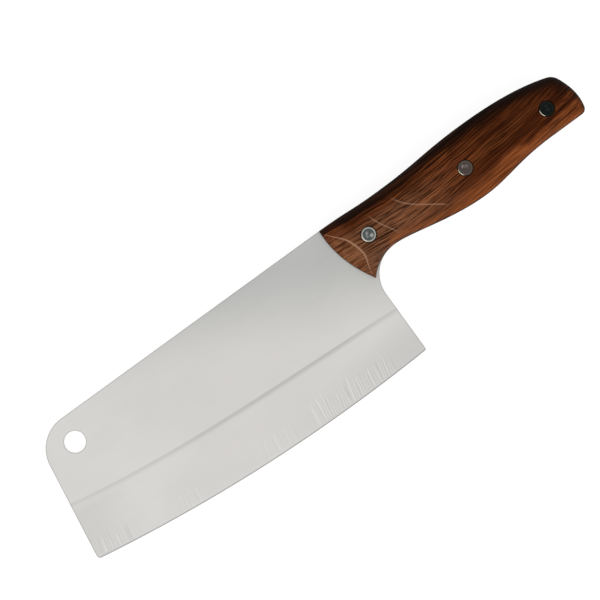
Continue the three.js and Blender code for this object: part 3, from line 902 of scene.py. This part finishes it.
def rivet_material(where):
    """Turned steel with painted reflections in its disc and ring, and a painted highlight on one side of its
    rim.
    """
    material, net = new_material(f"rivet_{where}")
    disc, marks_and_glints, ring = RIVET_LOOKS[where]
    place = net.millimetres()
    x, y, _ = net.split(place)
    radius = net.math("SQRT", net.math("ADD", net.math("POWER", x, 2.0), net.math("POWER", y, 2.0)))
    cloud_noise = net.noise(place, (0.9, 0.9, 0.9), detail=3)
    fine = net.noise(net.add("ShaderNodeCombineXYZ", {0: radius, 1: 0.0, 2: 0.0}), (5.0, 1, 1), detail=2)
    colour = net.mix(net.fade(fine, 0.4, 0.7, 0.0, 0.12), disc, marks_and_glints)
    # Painted reflections as cloudy glints in the disc
    for glint in RIVET_GLINTS[where]:
        colour = net.mix(rivet_glint(net, x, y, cloud_noise, glint), colour, marks_and_glints)
    uneven = net.math("ADD", radius, net.math("MULTIPLY", net.math("SUBTRACT", cloud_noise, 0.5), 0.5))
    # Painted reflection on the head's ring, and painted shade at its outer edge
    colour = net.mix(net.fade(uneven, 2.6, 2.95), colour, ring)
    colour = net.mix(net.fade(radius, 3.1, 3.4, 0.0, 0.8), colour, disc)
    # Painted highlight on one side of the rim
    toward_x, toward_y = RIM_HIGHLIGHT_SIDE
    side = net.math("ADD", net.math("MULTIPLY", x, toward_x), net.math("MULTIPLY", y, toward_y))
    rim_highlight = net.math("MULTIPLY", net.fade(side, 2.6, 3.2), net.fade(radius, 3.1, 3.25))
    colour = net.mix(rim_highlight, colour, RIM_HIGHLIGHT_COLOUR)
    rough = net.fade(fine, 0.3, 0.7, 0.26, 0.42)
    normal = net.bump(fine, 0.3, 0.00005)
    net.surface({"Base Color": colour, "Metallic": 1.0, "Roughness": rough, "Normal": normal})
    return material


def rivet_glint(net, x, y, cloud_noise, glint):
    """Strength of one painted reflection in a rivet's disc, with a cloudy edge."""
    middle_x, middle_y, size, strength = glint
    across = net.math("POWER", net.math("SUBTRACT", x, middle_x), 2.0)
    along = net.math("POWER", net.math("SUBTRACT", y, middle_y), 2.0)
    away = net.math("SQRT", net.math("ADD", across, along))
    away = net.math("ADD", away, net.math("MULTIPLY", net.math("SUBTRACT", cloud_noise, 0.5), 1.6))
    return net.fade(away, size, 0.1, 0.0, strength)


# The table, light and view
WHITE = (1, 1, 1, 1)
TABLE_PALE = (0.78, 0.78, 0.78, 1)
TABLE_PALER = (0.8, 0.8, 0.8, 1)
TABLE_SHADED = (0.3, 0.3, 0.3, 1)
TABLE_GLOW = 0.86  # with the light that falls on it, this reaches white outside the shadow
AIR_BEHIND, AIR_BEFORE = 0.4, 0.85  # light from the spine's side and from the cutting edge's side
FLOOR_SIZE = 6.0
SOFTBOXES = (
    # name, image direction in degrees, height in degrees, distance, width, power
    ("key", 290, 38, 1.4, 1.8, 3.5),
    ("overhead", 250, 88, 1.6, 2.2, 2.2),
)


def table_material():
    """White to the camera and in metal, apart from the shadow, and a plain pale floor to all other light."""
    material, net = new_material("pale_table")
    place = net.millimetres()
    mottle = net.noise(place, (0.02, 0.02, 0.02), detail=2)
    pale = net.mix(net.fade(mottle, 0.3, 0.7), TABLE_PALE, TABLE_PALER)
    lit = net.add("ShaderNodeBsdfDiffuse", {"Color": pale})
    shaded = net.add("ShaderNodeBsdfDiffuse", {"Color": TABLE_SHADED})
    glow = net.add("ShaderNodeEmission", {"Color": WHITE, "Strength": TABLE_GLOW})
    seen = net.add("ShaderNodeAddShader", {0: shaded, 1: glow})
    shader = net.add("ShaderNodeMixShader", {0: net.background_ray(), 1: lit, 2: seen})
    net.add("ShaderNodeOutputMaterial", {"Surface": shader})
    return material


def make_table():
    mesh = bpy.data.meshes.new("table")
    reach = FLOOR_SIZE / 2
    corners = [(-reach, -reach, 0), (reach, -reach, 0), (reach, reach, 0), (-reach, reach, 0)]
    mesh.from_pydata(corners, [], [(0, 1, 2, 3)])
    mesh.materials.append(table_material())
    table = bpy.data.objects.new("table", mesh)
    bpy.context.scene.collection.objects.link(table)


def image_axes():
    """The image's right and up, in the knife's frame."""
    right = Vector((math.cos(VIEW_ROLL), -math.sin(VIEW_ROLL), 0))
    up = Vector((math.sin(VIEW_ROLL), math.cos(VIEW_ROLL), 0))
    return right, up


def make_lights(place):
    right, up = image_axes()
    centre = Vector((*VIEW_CENTRE, 0)) * MM
    for name, direction, height, distance, width, power in SOFTBOXES:
        turn, lift = math.radians(direction), math.radians(height)
        flat = right * math.cos(turn) + up * math.sin(turn)
        offset = flat * math.cos(lift) + Vector((0, 0, math.sin(lift)))
        light = bpy.data.lights.new(name, "AREA")
        light.shape = "SQUARE"
        light.size = width
        light.energy = power
        lamp = bpy.data.objects.new(name, light)
        bpy.context.scene.collection.objects.link(lamp)
        lamp.location = place @ (centre + offset * distance)
        lamp.visible_camera = False
        lamp.rotation_mode = "QUATERNION"
        lamp.rotation_quaternion = (place.to_3x3() @ offset).to_track_quat("Z", "Y")


def make_world():
    """Studio air that is brighter on the cutting edge's side, and a white background past the table."""
    world = bpy.data.worlds.new("studio")
    world.use_nodes = True
    bpy.context.scene.world = world
    net = Nodes(world.node_tree)
    _, back, _ = net.split(net.add("ShaderNodeTexCoord", {}, output="Generated"))
    strength = net.fade(back, 1, -1, AIR_BEHIND, AIR_BEFORE)
    air = net.add("ShaderNodeBackground", {"Color": WHITE, "Strength": strength})
    white = net.add("ShaderNodeBackground", {"Color": WHITE, "Strength": 1.0})
    shader = net.add("ShaderNodeMixShader", {0: net.background_ray(), 1: air, 2: white})
    net.add("ShaderNodeOutputWorld", {"Surface": shader})


def make_camera(place):
    camera = bpy.data.cameras.new("camera")
    camera.lens = LENS
    camera.sensor_width = SENSOR
    distance = PHOTO_PIXELS / PIXELS_PER_MM * LENS / SENSOR
    eye = bpy.data.objects.new("camera", camera)
    bpy.context.scene.collection.objects.link(eye)
    right, up = image_axes()
    turn = Matrix((right, up, Vector((0, 0, 1)))).transposed().to_4x4()
    eye.matrix_world = place @ Matrix.Translation(Vector((*VIEW_CENTRE, distance)) * MM) @ turn
    bpy.context.scene.camera = eye


def knife_place():
    """Where the knife's own frame lies: the hang hole's mount gives its place and its tilt."""
    mount = next(m for m in frame["record"]["mounts"] if m["name"] == "hang_hole")
    turn = Vector((0, 0, 1)).rotation_difference(Vector(mount["axis"])).to_matrix().to_4x4()
    hole = turn @ (Vector((*HANG_HOLE, 0)) * MM)
    return Matrix.Translation(Vector(mount["pos_m"]) - hole) @ turn


def main():
    place = knife_place()
    make_camera(place)
    make_blade(place, blade_material())
    wood = wood_material()
    make_scale("grip_scale_upper", "scale_upper", 1, place, wood)
    make_scale("grip_scale_lower", "scale_lower", -1, place, wood)
    make_rivets(place)
    make_table()
    make_lights(place)
    make_world()
    bpy.context.scene.view_settings.view_transform = "Standard"


main()
